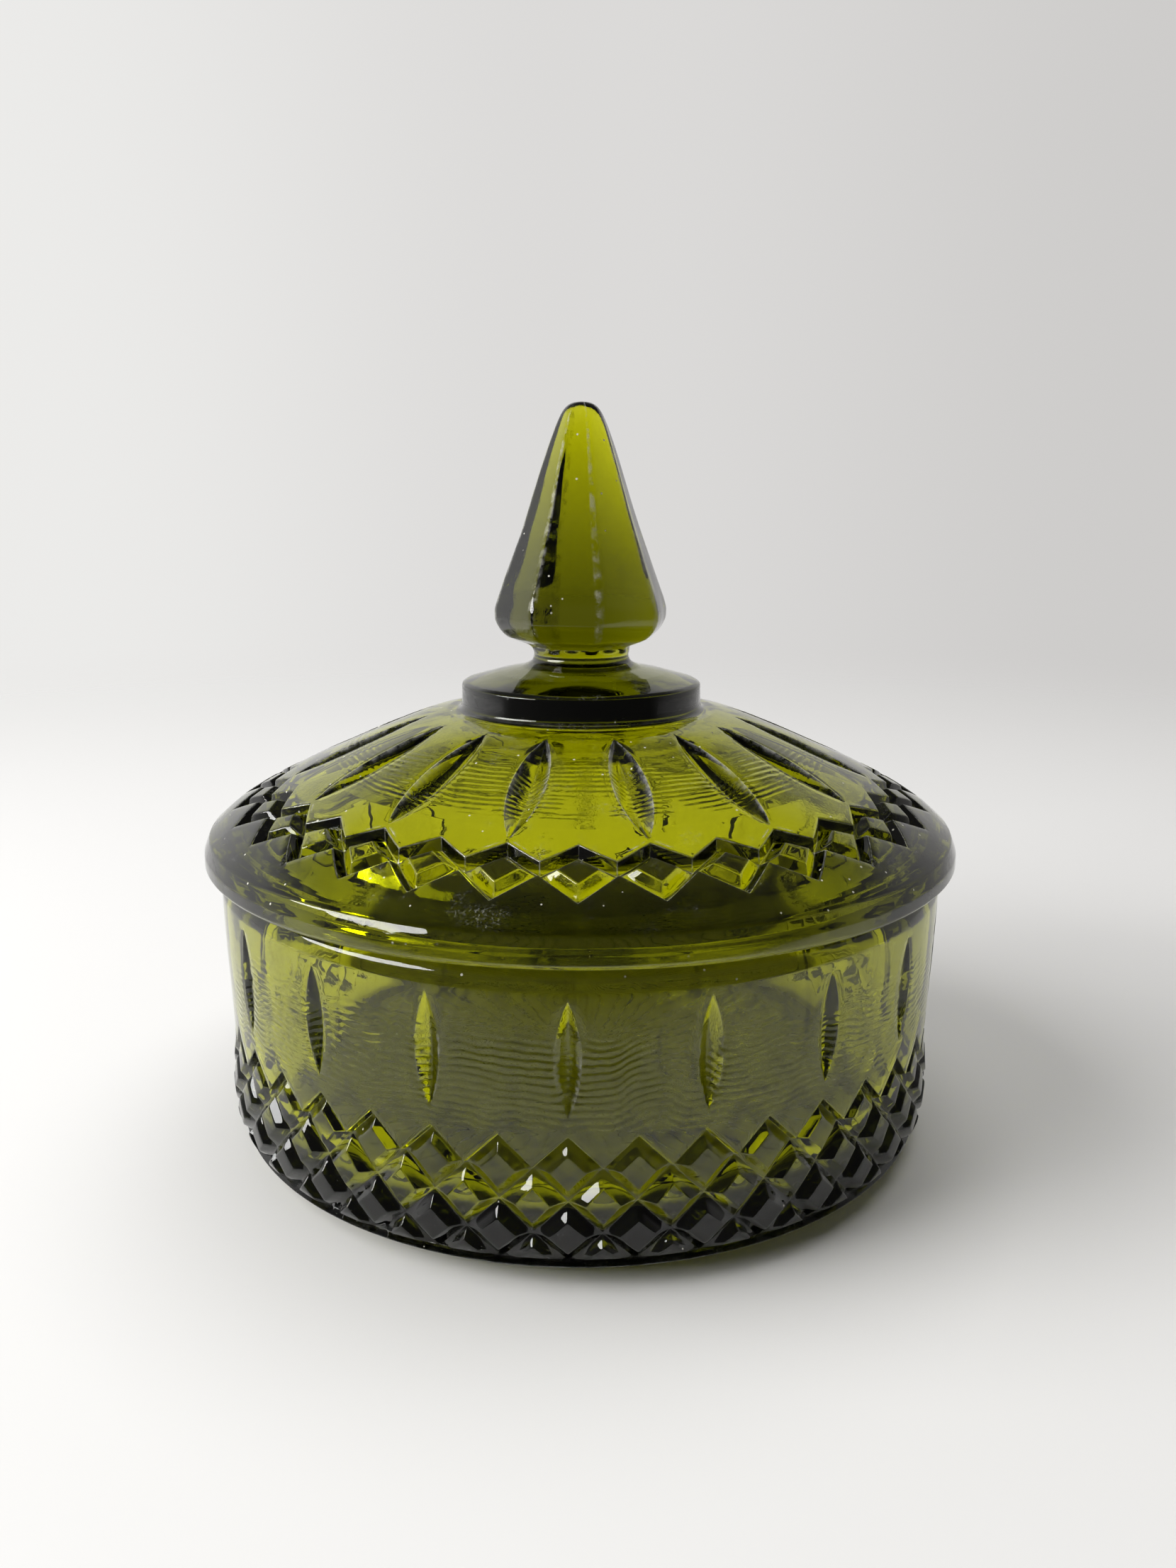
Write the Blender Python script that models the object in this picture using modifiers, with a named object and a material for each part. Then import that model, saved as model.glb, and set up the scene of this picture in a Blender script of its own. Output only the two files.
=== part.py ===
"""Pressed-glass covered jar: a bowl and a lift-off lid with a faceted knob.

Metres, +Z up, front towards -Y.  The rest plane is Z = 0 and the jar's axis is
the Z axis.  Every length below is a multiple of R, the lid's rim radius.
"""
import math

import bmesh
import bpy
from mathutils import Matrix

# ---------------------------------------------------------------- dimensions
R = 0.070                    # lid rim radius

BOWL_REPEATS = 40            # diamonds round the bowl, two to each upright cut
LID_REPEATS = 32             # diamonds round the lid, two to each radial cut
BOWL_TURN = -0.021           # how far each pattern is turned about the axis, rad
LID_TURN = 0.000

FOOT_RADIUS = 0.868          # flat foot ring the jar rests on
FOOT_INNER = 0.800
BASE_RECESS = 0.006
FLOOR_TOP = 0.095            # inside floor of the bowl
MOUTH_RADIUS = 0.880         # inside of the bowl at the mouth
LEDGE_Z = 0.7482             # ledge the lid rests on
SEAT_Z = 0.7525              # underside of the lid's rim, 0.3 mm above the ledge

GRID_TOP = 0.358             # top peaks of the diamond band on the bowl
GRID_PITCH = 0.0742          # height from one row of crossings to the next
GRID_ROWS = 4
GRID_DEPTH = 0.022           # depth of the grooves between the diamonds
GRID_STEP = 0.010            # rise of the step from the grooves to the panels
TABLE = 0.52                 # size of a diamond's flat table to the diamond's

BOWL_CUT_Z = (0.4115, 0.6728)    # ends of an upright cut
BOWL_CUT_DEPTH = 0.0207
LID_CUT_A = (0.417, 1.1034)      # inner end of a radial cut: radius, height
LID_CUT_B = (0.764, 0.9562)      # outer end
LID_CUT_DEPTH = 0.031
CUT_SLOPE = 1.54                 # cut half width for each unit of depth

LID_PANEL_EDGE = (0.777, 0.824)  # zigzag edge of the panels: peak, point radius
LID_TOP_NODE = 0.790             # crossings of the grooves, from inner to outer
LID_SIDE_NODE = 0.842
LID_LOW_NODE = 0.912
LID_RIM_EDGE = (0.926, 0.862)    # zigzag edge of the rim's slope
LID_ZIG_DEPTH = 0.029

KNOB_CORNER = math.radians(-78)  # first corner of the knob, from the front to +X
KNOB_SIDES = 8
KNOB_SOFT = 0.010                # rounding of the knob's edges

GLASS = (0.30, 0.33, 0.03, 1.0)

BOWL_PROFILE = [             # inner floor, up the inside, over the rim, down
    (0.000, FLOOR_TOP), (0.740, 0.098), (0.815, 0.116), (0.852, 0.152),
    (0.866, 0.205), (MOUTH_RADIUS, 0.715), (0.884, 0.741), (0.893, LEDGE_Z),
    (0.925, LEDGE_Z), (0.942, 0.7390), (0.9555, 0.7200), (0.9626, 0.695),
    (0.9602, 0.550), (0.9552, 0.400), (0.9400, 0.0500), (0.8760, 0.0045),
    (FOOT_RADIUS, 0.000), (FOOT_INNER, 0.000), (0.750, BASE_RECESS),
    (0.000, BASE_RECESS),
]
BOWL_WALL = [                # the diamond tables' surface: height, radius
    (0.050, 0.9400), (0.080, 0.9530), (0.100, 0.9600), (0.160, 0.9640),
    (0.230, 0.9590), (0.300, 0.9530), (0.400, 0.9552),
]
LID_SLOPE = [                # the lid's slope: radius, height
    (0.680, 0.9956), (0.740, 0.9690), (0.800, 0.9400), (0.900, 0.8880),
    (0.966, 0.8400),
]
LID_PROFILE = [              # neck, collar, slope, rim, seat, locating ring, inside
    (0.000, 1.300), (0.112, 1.300), (0.1258, 1.2646), (0.133, 1.2417),
    (0.160, 1.2280), (0.227, 1.2150), (0.309, 1.1925), (0.3210, 1.1857),
    (0.3215, 1.1190), (0.362, 1.1165), (0.420, 1.1024), (0.550, 1.0532),
    (0.680, 0.9956), (0.740, 0.9690), (0.966, 0.8400), (0.985, 0.8230),
    (0.9985, 0.7900), (1.000, 0.7660), (0.990, SEAT_Z),
    (0.866, SEAT_Z), (0.860, 0.706), (0.853, 0.700), (0.820, 0.700),
    (0.812, 0.706), (0.796, 0.824), (0.748, 0.882), (0.665, 0.926),
    (0.500, 0.995), (0.420, 1.028), (0.300, 1.058), (0.000, 1.068),
]
KNOB_PROFILE = [             # corner radius and height, tip downwards
    (0.000, 1.9090), (0.030, 1.9030), (0.0530, 1.8800), (0.0653, 1.8570),
    (0.0979, 1.7724), (0.1566, 1.6000), (0.2225, 1.4231), (0.2362, 1.3720),
    (0.2300, 1.3420), (0.2010, 1.3103), (0.1380, 1.2850), (0.1000, 1.2700),
    (0.000, 1.2700),
]


# ------------------------------------------------------------------- helpers
def clear():
    for ob in list(bpy.data.objects):
        bpy.data.objects.remove(ob, do_unlink=True)


def collection(name):
    col = bpy.data.collections.get(name) or bpy.data.collections.new(name)
    if col.name not in bpy.context.scene.collection.children:
        bpy.context.scene.collection.children.link(col)
    return col


def glass(name, roughness):
    mat = bpy.data.materials.new(name)
    mat.use_nodes = True
    shader = mat.node_tree.nodes["Principled BSDF"]
    shader.inputs["Base Color"].default_value = GLASS
    shader.inputs["Roughness"].default_value = roughness
    shader.inputs["IOR"].default_value = 1.52
    shader.inputs["Transmission Weight"].default_value = 1.0
    return mat


def turned(name, profile, steps, col, start=0.0):
    """Screw a profile round Z and bake the result."""
    mesh = bpy.data.meshes.new(name)
    pts = [(x * R, 0.0, z * R) for x, z in profile]
    mesh.from_pydata(pts, [(i, i + 1) for i in range(len(pts) - 1)], [])
    ob = bpy.data.objects.new(name, mesh)
    col.objects.link(ob)
    mod = ob.modifiers.new("turn", "SCREW")
    mod.axis = "Z"
    mod.angle = 2 * math.pi
    mod.steps = steps
    mod.render_steps = steps
    mod.use_merge_vertices = True
    mod.merge_threshold = 0.00001
    mod.use_normal_calculate = True
    bake(ob)
    ob.data.transform(Matrix.Rotation(start, 4, "Z"))
    outward(ob)
    return ob


def bake(ob):
    bpy.context.view_layer.update()
    deps = bpy.context.evaluated_depsgraph_get()
    mesh = bpy.data.meshes.new_from_object(ob.evaluated_get(deps))
    ob.modifiers.clear()
    ob.data = mesh


def outward(ob):
    bm = bmesh.new()
    bm.from_mesh(ob.data)
    bmesh.ops.recalc_face_normals(bm, faces=bm.faces)
    if bm.calc_volume(signed=True) < 0:
        bmesh.ops.reverse_faces(bm, faces=bm.faces)
    bm.to_mesh(ob.data)
    bm.free()


def boolean(ob, cutter, how):
    mod = ob.modifiers.new(how.lower(), "BOOLEAN")
    mod.operation = how
    mod.solver = "EXACT"
    mod.object = cutter
    bake(ob)


def tidy(ob):
    bm = bmesh.new()
    bm.from_mesh(ob.data)
    bmesh.ops.remove_doubles(bm, verts=bm.verts, dist=0.00002)
    bmesh.ops.dissolve_degenerate(bm, edges=bm.edges, dist=0.00002)
    bmesh.ops.triangulate(bm, faces=bm.faces)
    bmesh.ops.dissolve_degenerate(bm, edges=bm.edges, dist=0.00001)
    bm.to_mesh(ob.data)
    bm.free()
    outward(ob)


def azimuth(theta):
    """Rotation that takes the front (-Y) to azimuth theta, towards +X."""
    return Matrix.Rotation(theta, 4, "Z")


def joined(name, meshes, col):
    """One cutter object out of separate closed bodies."""
    bm = bmesh.new()
    for mesh in meshes:
        bm.from_mesh(mesh)
    out = bpy.data.meshes.new(name)
    bm.to_mesh(out)
    bm.free()
    ob = bpy.data.objects.new(name, out)
    col.objects.link(ob)
    ob.hide_render = True
    ob.display_type = "WIRE"
    return ob


# ------------------------------------------------------------------- cutters
def cut_wheel(name, end_a, end_b, depth, col, steps):
    """V-edged wheel in the plane X = 0 that leaves a pointed-oval cut from
    end_a to end_b (radius, height), standing in front of the axis."""
    ax, az = end_a
    bx, bz = end_b
    length = math.hypot(bx - ax, bz - az)
    wheel = (length * length / 4 + depth * depth) / (2 * depth)
    nx, nz = -(bz - az) / length, (bx - ax) / length
    if nx < 0:
        nx, nz = -nx, -nz
    mid = ((ax + bx) / 2, (az + bz) / 2)
    cx, cz = mid[0] + nx * (wheel - depth), mid[1] + nz * (wheel - depth)
    reach = 1.35 * depth
    half = CUT_SLOPE * reach
    profile = [(0.0, half), (wheel - reach, half), (wheel, 0.0),
               (wheel - reach, -half), (0.0, -half)]
    ob = turned(name, profile, steps, col)
    # the wheel's axis goes from Z to X, then the wheel goes to its centre
    ob.data.transform(Matrix.Rotation(math.radians(90), 4, "Y"))
    ob.data.transform(Matrix.Rotation(math.atan2(nz, nx), 4, "X"))
    ob.data.transform(Matrix.Translation((0, -cx * R, cz * R)))
    return ob


def ring_of(ob, name, count, offset, col):
    """Copies of a cutter all round the axis, as one object."""
    meshes = []
    for k in range(count):
        mesh = ob.data.copy()
        mesh.transform(azimuth((k + offset) * 2 * math.pi / count))
        meshes.append(mesh)
    out = joined(name, meshes, col)
    for mesh in meshes:
        bpy.data.meshes.remove(mesh)
    bpy.data.objects.remove(ob, do_unlink=True)
    return out


# ------------------------------------------------------------- diamond bands
# No modelling tool makes the crossing grooves, so each band's faces are placed
# by function between two rings of the turned body.
def along(table, x):
    for (x0, y0), (x1, y1) in zip(table[:-1], table[1:]):
        if x <= x1:
            break
    t = min(max((x - x0) / (x1 - x0), 0.0), 1.0)
    return y0 + t * (y1 - y0)


class Band:
    """Opens one row of faces of a turned body and fills it with relief."""

    def __init__(self, ob, steps, ring_a, ring_b):
        self.ob, self.steps = ob, steps
        self.bm = bmesh.new()
        self.bm.from_mesh(ob.data)
        self.a = self.ring(ring_a)
        self.b = self.ring(ring_b)
        ends = set(self.a) | set(self.b)
        row = [f for f in self.bm.faces if all(v in ends for v in f.verts)]
        bmesh.ops.delete(self.bm, geom=row, context="FACES_KEEP_BOUNDARY")

    def ring(self, at):
        found = [v for v in self.bm.verts
                 if abs(math.hypot(v.co.x, v.co.y) - at[0] * R) < 1e-6
                 and abs(v.co.z - at[1] * R) < 1e-6]
        step = 2 * math.pi / self.steps
        out = [None] * self.steps
        for v in found:
            out[round(math.atan2(v.co.x, -v.co.y) / step) % self.steps] = v
        return out

    def vert(self, k, radius, height):
        th = k * 2 * math.pi / self.steps
        return self.bm.verts.new((radius * math.sin(th) * R,
                                  -radius * math.cos(th) * R, height * R))

    def strip(self, upper, lower):
        n = self.steps
        for k in range(n):
            self.face(upper[k], upper[(k + 1) % n], lower[(k + 1) % n], lower[k])

    def face(self, *verts):
        self.bm.faces.new(verts)

    def diamond(self, corners, table):
        """Four facets and the table: corners top, right, bottom, left."""
        for i in range(4):
            j = (i + 1) % 4
            self.face(corners[i], corners[j], table[j], table[i])
        self.face(*table)

    def close(self):
        bmesh.ops.recalc_face_normals(self.bm, faces=self.bm.faces)
        self.bm.to_mesh(self.ob.data)
        self.bm.free()
        outward(self.ob)


def bowl_band(ob):
    n = BOWL_REPEATS * 2
    band = Band(ob, n, (0.9552, 0.400), (0.9400, 0.0500))

    def wall(z):
        return along(BOWL_WALL, z)

    def level(row):
        return GRID_TOP - row * GRID_PITCH

    # crossings: even rows over the even steps, odd rows over the odd steps
    node = {}
    for row in range(GRID_ROWS + 1):
        z = level(row)
        for k in range(row % 2, n, 2):
            node[row, k] = band.vert(k, wall(z) - GRID_DEPTH, z)
    panel = []
    for k in range(n):
        z = level(k % 2) + GRID_STEP
        panel.append(band.vert(k, wall(z), z))
    band.strip(band.a, panel)
    band.strip(panel, [node[k % 2, k] for k in range(n)])
    for row in range(1, GRID_ROWS):
        zc = level(row)
        for k in range((row + 1) % 2, n, 2):
            corners = (node[row - 1, k], node[row, (k + 1) % n],
                       node[row + 1, k], node[row, (k - 1) % n])
            dz = TABLE * GRID_PITCH
            table = (band.vert(k, wall(zc + dz), zc + dz),
                     band.vert(k + TABLE, wall(zc), zc),
                     band.vert(k, wall(zc - dz), zc - dz),
                     band.vert(k - TABLE, wall(zc), zc))
            band.diamond(corners, table)
    # half diamonds stand on the base line
    z = level(GRID_ROWS)
    line = [node.get((GRID_ROWS, k)) or band.vert(k, wall(z) - GRID_DEPTH * 0.5, z)
            for k in range(n)]
    for k in range(1, n, 2):
        top, left, right = node[GRID_ROWS - 1, k], line[k - 1], line[(k + 1) % n]
        zt, zl = z + 0.60 * GRID_PITCH, z + 0.16 * GRID_PITCH
        tt = band.vert(k, wall(zt), zt)
        tl = band.vert(k - 0.44, wall(zl), zl)
        tr = band.vert(k + 0.44, wall(zl), zl)
        band.face(top, left, tl, tt)
        band.face(top, tt, tr, right)
        band.face(left, line[k], tl)
        band.face(line[k], right, tr)
        band.face(line[k], tr, tl)
        band.face(tt, tl, tr)
    band.strip(line, band.b)
    band.close()


def lid_band(ob):
    n = LID_REPEATS * 2
    band = Band(ob, n, (0.740, 0.9690), (0.966, 0.8400))

    def on_slope(k, radius, depth=0.0):
        z = along(LID_SLOPE, radius)
        z2 = along(LID_SLOPE, radius + 0.01)
        tilt = math.atan2(z - z2, 0.01)
        return band.vert(k, radius - depth * math.sin(tilt),
                         z - depth * math.cos(tilt))

    top = {k: on_slope(k, LID_TOP_NODE, LID_ZIG_DEPTH) for k in range(0, n, 2)}
    side = {k: on_slope(k, LID_SIDE_NODE, LID_ZIG_DEPTH) for k in range(1, n, 2)}
    low = {k: on_slope(k, LID_LOW_NODE, LID_ZIG_DEPTH * 0.8) for k in range(0, n, 2)}
    panel = [on_slope(k, LID_PANEL_EDGE[k % 2]) for k in range(n)]
    rim = [on_slope(k, LID_RIM_EDGE[k % 2]) for k in range(n)]
    band.strip(band.a, panel)
    band.strip(panel, [side[k] if k % 2 else top[k] for k in range(n)])
    centre = (LID_TOP_NODE + LID_LOW_NODE) / 2
    half = TABLE * (LID_LOW_NODE - LID_TOP_NODE) / 2
    for k in range(0, n, 2):
        corners = (top[k], side[k + 1], low[k], side[(k - 1) % n])
        table = (on_slope(k, centre - half), on_slope(k + TABLE, centre - 0.003),
                 on_slope(k, centre + half), on_slope(k - TABLE, centre - 0.003))
        band.diamond(corners, table)
    band.strip([side[k] if k % 2 else low[k] for k in range(n)], rim)
    band.strip(rim, band.b)
    band.close()


# -------------------------------------------------------------------- pieces
def make_bowl(col, cutters):
    steps = BOWL_REPEATS * 2
    ob = turned("jar_bowl", BOWL_PROFILE, steps, col, start=-math.radians(90))
    bowl_band(ob)
    cuts = ring_of(cut_wheel("bowl_wheel", (0.9572, BOWL_CUT_Z[0]),
                             (0.9618, BOWL_CUT_Z[1]), BOWL_CUT_DEPTH, cutters, 60),
                   "bowl_cuts", BOWL_REPEATS // 2, 0.0, cutters)
    boolean(ob, cuts, "DIFFERENCE")
    tidy(ob)
    ob.data.transform(azimuth(BOWL_TURN))
    return ob


def make_lid(col, cutters):
    steps = LID_REPEATS * 2
    ob = turned("jar_lid", LID_PROFILE, steps, col, start=-math.radians(90))
    lid_band(ob)
    cuts = ring_of(cut_wheel("lid_wheel", LID_CUT_A, LID_CUT_B, LID_CUT_DEPTH,
                             cutters, 72),
                   "lid_cuts", LID_REPEATS // 2, 0.5, cutters)
    boolean(ob, cuts, "DIFFERENCE")
    tidy(ob)
    knob = turned("lid_knob", KNOB_PROFILE, KNOB_SIDES, cutters,
                  start=KNOB_CORNER - math.pi / 2)
    mod = knob.modifiers.new("soften", "BEVEL")
    mod.width = KNOB_SOFT * R
    mod.segments = 2
    mod.limit_method = "ANGLE"
    mod.angle_limit = math.radians(30)
    bake(knob)
    outward(knob)
    knob.hide_render = True
    knob.display_type = "WIRE"
    boolean(ob, knob, "UNION")
    tidy(ob)
    ob.data.transform(azimuth(LID_TURN))
    return ob


def finish(ob, mat):
    ob.data.materials.clear()
    ob.data.materials.append(mat)
    for poly in ob.data.polygons:
        poly.material_index = 0
        poly.use_smooth = True
    if hasattr(ob.data, "set_sharp_from_angle"):
        ob.data.set_sharp_from_angle(angle=math.radians(24))


def main():
    clear()
    jar = collection("covered_jar")
    cutters = collection("cutters")
    cutters.hide_render = True
    bowl = make_bowl(jar, cutters)
    lid = make_lid(jar, cutters)
    finish(bowl, glass("bowl_glass", 0.02))
    finish(lid, glass("lid_glass", 0.02))


main()
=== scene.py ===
"""Covered pressed-glass jar: olive-green bowl and lift-off lid, built as two closed
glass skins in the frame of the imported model.  Lengths in the shape code are
multiples of R, the lid's rim radius."""

import math

import bpy
import numpy as np
from mathutils import Matrix, Vector


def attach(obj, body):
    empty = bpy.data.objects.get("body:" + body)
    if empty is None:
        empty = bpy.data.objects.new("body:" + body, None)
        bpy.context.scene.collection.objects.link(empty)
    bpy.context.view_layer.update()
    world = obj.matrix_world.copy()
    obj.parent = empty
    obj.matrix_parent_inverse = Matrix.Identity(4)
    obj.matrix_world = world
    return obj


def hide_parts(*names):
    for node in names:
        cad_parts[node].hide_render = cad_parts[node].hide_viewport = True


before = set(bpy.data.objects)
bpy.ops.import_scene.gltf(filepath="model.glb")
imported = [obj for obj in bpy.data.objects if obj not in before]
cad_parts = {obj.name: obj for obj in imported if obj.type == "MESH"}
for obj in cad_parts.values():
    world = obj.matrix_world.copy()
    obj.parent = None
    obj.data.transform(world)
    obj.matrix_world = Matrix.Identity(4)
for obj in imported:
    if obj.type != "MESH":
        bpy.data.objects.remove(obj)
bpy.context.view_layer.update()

R = 0.070
BOWL_N, LID_N = 40, 32            # diamonds round the bowl and round the lid
BOWL_TURN, LID_TURN = -0.021, 0.0
TAU = 2 * math.pi

# ------------------------------------------------------------------ bowl sizes
GRID_TOP = 0.358
PITCH = 0.0742
DEPTH = 0.022
STEP = 0.010
TABLE = 0.52
BOWL_WALL = [(0.030, 0.9300), (0.050, 0.9400), (0.080, 0.9530), (0.100, 0.9600),
             (0.160, 0.9640), (0.230, 0.9590), (0.300, 0.9530), (0.400, 0.9552),
             (0.550, 0.9602), (0.695, 0.9626)]
BOWL_CUT = (0.4115, 0.6728)
BOWL_CUT_HALF = 0.0325
BOWL_CUT_SLOPE, LID_CUT_SLOPE = 1.30, 1.54
# ------------------------------------------------------------------- lid sizes
LID_SLOPE = [(0.330, 1.1190), (0.362, 1.1165), (0.420, 1.1024), (0.550, 1.0532),
             (0.680, 0.9956), (0.740, 0.9690), (0.800, 0.9400), (0.900, 0.8880),
             (0.966, 0.8400), (0.986, 0.8150)]
LID_CUT = (0.417, 0.764)
LID_CUT_HALF = 0.0477
LID_PANEL = (0.777, 0.824)
LID_TOP, LID_SIDE, LID_LOW = 0.790, 0.842, 0.912
LID_RIM = (0.926, 0.862)
LID_DEPTH = 0.030
KNOB_CORNER = math.radians(-78)
KNOB_ROUND = 0.026
KNOB = [(1.9090, 0.000), (1.9075, 0.014), (1.9030, 0.030), (1.8930, 0.0440),
        (1.8800, 0.0545), (1.8570, 0.0665), (1.8150, 0.0830), (1.7724, 0.0985),
        (1.6867, 0.1275), (1.6000, 0.1566), (1.5121, 0.1882), (1.4231, 0.2225),
        (1.4000, 0.2310), (1.3780, 0.2358), (1.3600, 0.2352), (1.3420, 0.2290),
        (1.3103, 0.2010), (1.2960, 0.1650), (1.2850, 0.1400), (1.2740, 0.1300)]

RNG = np.random.default_rng(11)


# --------------------------------------------------------------------- helpers
def curve(points):
    """Monotone cubic through (x, y) points, as a function of an array."""
    x = np.array([p[0] for p in points], float)
    y = np.array([p[1] for p in points], float)
    h = np.diff(x)
    d = np.diff(y) / h
    m = np.zeros(len(x))
    m[0], m[-1] = d[0], d[-1]
    for i in range(1, len(x) - 1):
        if d[i - 1] * d[i] > 0:
            w1, w2 = 2 * h[i] + h[i - 1], h[i] + 2 * h[i - 1]
            m[i] = (w1 + w2) / (w1 / d[i - 1] + w2 / d[i])

    def at(q):
        q = np.clip(np.asarray(q, float), x[0], x[-1])
        i = np.clip(np.searchsorted(x, q, side="right") - 1, 0, len(x) - 2)
        t = (q - x[i]) / h[i]
        a = y[i] * (1 + 2 * t) * (1 - t) ** 2 + m[i] * h[i] * t * (1 - t) ** 2
        return a + y[i + 1] * t * t * (3 - 2 * t) + m[i + 1] * h[i] * t * t * (t - 1)
    return at


def rounded_path(corners, step=0.02, arc=3):
    """(r, z, corner radius) points as a dense path with filleted corners."""
    pts = [np.array(c[:2], float) for c in corners]
    out = [pts[0]]
    for i in range(1, len(pts) - 1):
        a, b, c = pts[i - 1], pts[i], pts[i + 1]
        u, v = a - b, c - b
        lu, lv = np.linalg.norm(u), np.linalg.norm(v)
        u, v = u / lu, v / lv
        half = math.acos(np.clip(u @ v, -1, 1)) / 2
        cut = min(corners[i][2] / max(math.tan(half), 1e-6), 0.48 * lu, 0.48 * lv)
        if cut < 1e-5:
            out.append(b)
            continue
        for k in range(arc + 1):
            t = k / arc
            p = (1 - t) ** 2 * (b + u * cut) + 2 * t * (1 - t) * b + t * t * (b + v * cut)
            out.append(p)
    out.append(pts[-1])
    dense = [out[0]]
    for p, q in zip(out[:-1], out[1:]):
        n = max(1, math.ceil(np.linalg.norm(q - p) / step))
        for k in range(1, n + 1):
            dense.append(p + (q - p) * k / n)
    return dense


_waves = [(RNG.normal(size=3), RNG.uniform(0, TAU)) for _ in range(14)]


def wobble(p, size):
    """Smooth unevenness of pressed glass, about -1 to 1, at a wavelength in R."""
    out = np.zeros(len(p))
    for i, (d, ph) in enumerate(_waves):
        k = d / np.linalg.norm(d) * TAU / (size * (0.7 + 0.09 * i))
        out += np.sin(p @ k + ph)
    return out / 5.0


class Skin:
    """A closed surface put together from rings of points."""

    def __init__(self):
        self.points, self.faces, self.count = [], [], 0

    def add(self, pts):
        pts = np.asarray(pts, float).reshape(-1, 3)
        ids = np.arange(self.count, self.count + len(pts))
        self.points.append(pts)
        self.count += len(pts)
        return ids

    def bridge(self, a, b):
        n = len(a)
        for k in range(n):
            j = (k + 1) % n
            self.faces.append((a[k], a[j], b[j], b[k]))

    def fan(self, ring, tip):
        n = len(ring)
        for k in range(n):
            self.faces.append((ring[k], ring[(k + 1) % n], tip))

    def stitch(self, few, many):
        m = len(many) // len(few)
        for k in range(len(few)):
            row = [many[(k * m + i) % len(many)] for i in range(m + 1)]
            self.faces.append(tuple([few[(k + 1) % len(few)], few[k]] + row))

    def make(self, name, material, body, nodes):
        pts = np.concatenate(self.points)
        keys = np.round(pts / 2e-6).astype(np.int64)
        _, first, back = np.unique(keys, axis=0, return_index=True, return_inverse=True)
        back = back.reshape(-1)
        pts = pts[first]
        faces = []
        for f in self.faces:
            g = [int(back[i]) for i in f]
            g = [v for i, v in enumerate(g) if v != g[i - 1]]
            if len(set(g)) >= 3:
                faces.append(g)
        mesh = bpy.data.meshes.new(name)
        mesh.from_pydata((pts * R).tolist(), [], faces)
        mesh.validate()
        ob = bpy.data.objects.new(name, mesh)
        bpy.context.scene.collection.objects.link(ob)
        outward(ob)
        mesh = ob.data
        mesh.polygons.foreach_set("use_smooth", [True] * len(mesh.polygons))
        mesh.set_sharp_from_angle(angle=math.radians(46))
        wear(mesh)
        mesh.materials.append(material)
        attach(ob, body)
        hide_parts(*nodes)
        return ob


def outward(ob):
    import bmesh
    bm = bmesh.new()
    bm.from_mesh(ob.data)
    bmesh.ops.recalc_face_normals(bm, faces=bm.faces)
    if bm.calc_volume(signed=True) < 0:
        bmesh.ops.reverse_faces(bm, faces=bm.faces)
    open_edges = sum(1 for e in bm.edges if len(e.link_faces) != 2)
    print(ob.name, "faces", len(bm.faces), "edges not shared by two faces", open_edges)
    bm.to_mesh(ob.data)
    bm.free()


def wear(mesh):
    """How sharply the surface turns at each point, outwards and inwards."""
    import bmesh
    bm = bmesh.new()
    bm.from_mesh(mesh)
    ridge, groove = [0.0] * len(bm.verts), [0.0] * len(bm.verts)
    for e in bm.edges:
        turn = e.calc_face_angle_signed(0.0)
        store = ridge if turn > 0 else groove
        for v in e.verts:
            store[v.index] = max(store[v.index], abs(turn))
    bm.free()
    for name, values, start, span in (("ridge", ridge, 0.16, 0.55),
                                      ("groove", groove, 0.22, 0.70)):
        layer = mesh.attributes.new(name, "FLOAT", "POINT")
        values = np.clip((np.array(values) - start) / span, 0, 1).astype(np.float32)
        layer.data.foreach_set("value", values)


def polar(theta, r, z):
    theta, r, z = np.broadcast_arrays(theta, r, z)
    return np.stack([r * np.sin(theta), -r * np.cos(theta), z], axis=-1)


# where the columns stand along one side of a diamond, from corner to corner
SIDE = np.array([0.0, 0.04, 0.27, 0.50, 0.73, 0.96])
SIDE_2 = np.concatenate([SIDE / 2, 0.5 + SIDE / 2])
# how far from the groove to the table, and the share of the depth there
LEVELS = [(0.00, 0.955, 0.0), (0.06, 0.940, 0.6), (0.50, 0.535, 0.6),
          (0.91, 0.090, 0.6), (1.00, 0.020, 0.6), (1.09, 0.000, 0.6),
          (1.50, 0.000, 0.6)]


def diamond(skin, outer, inner, sides, place, depth, tilt):
    """Facets and table of one cut-off pyramid.  outer and inner hold the corners as
    (step, along) pairs; place turns (step, along, depth) into points."""
    outer, inner = np.array(outer, float), np.array(inner, float)
    n = len(outer)
    rings = []
    for w, share, soft in LEVELS:
        c = outer + (inner - outer) * w
        pts = []
        for i in range(n):
            f = sides[i][:, None]
            pts.append(c[i] + (c[(i + 1) % n] - c[i]) * f)
        if soft:
            for i in range(n):
                near = (pts[i][1] + pts[i - 1][-1]) / 2
                pts[i] = pts[i].copy()
                pts[i][0] = pts[i][0] * (1 - soft) + near * soft
        p = np.concatenate(pts)
        d = np.full(len(p), share * depth)
        if w > 0:
            mid = inner.mean(0)
            lean = ((p - mid) / np.abs(outer - mid).max(0)) @ tilt
            d = d + lean * (1 - share)
        rings.append(skin.add(place(p[:, 0], p[:, 1], d)))
    for a, b in zip(rings[:-1], rings[1:]):
        skin.bridge(a, b)
    mid = inner.mean(0)
    tip = skin.add(place(mid[:1], mid[1:], np.zeros(1)))
    skin.fan(rings[-1], tip[0])


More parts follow.
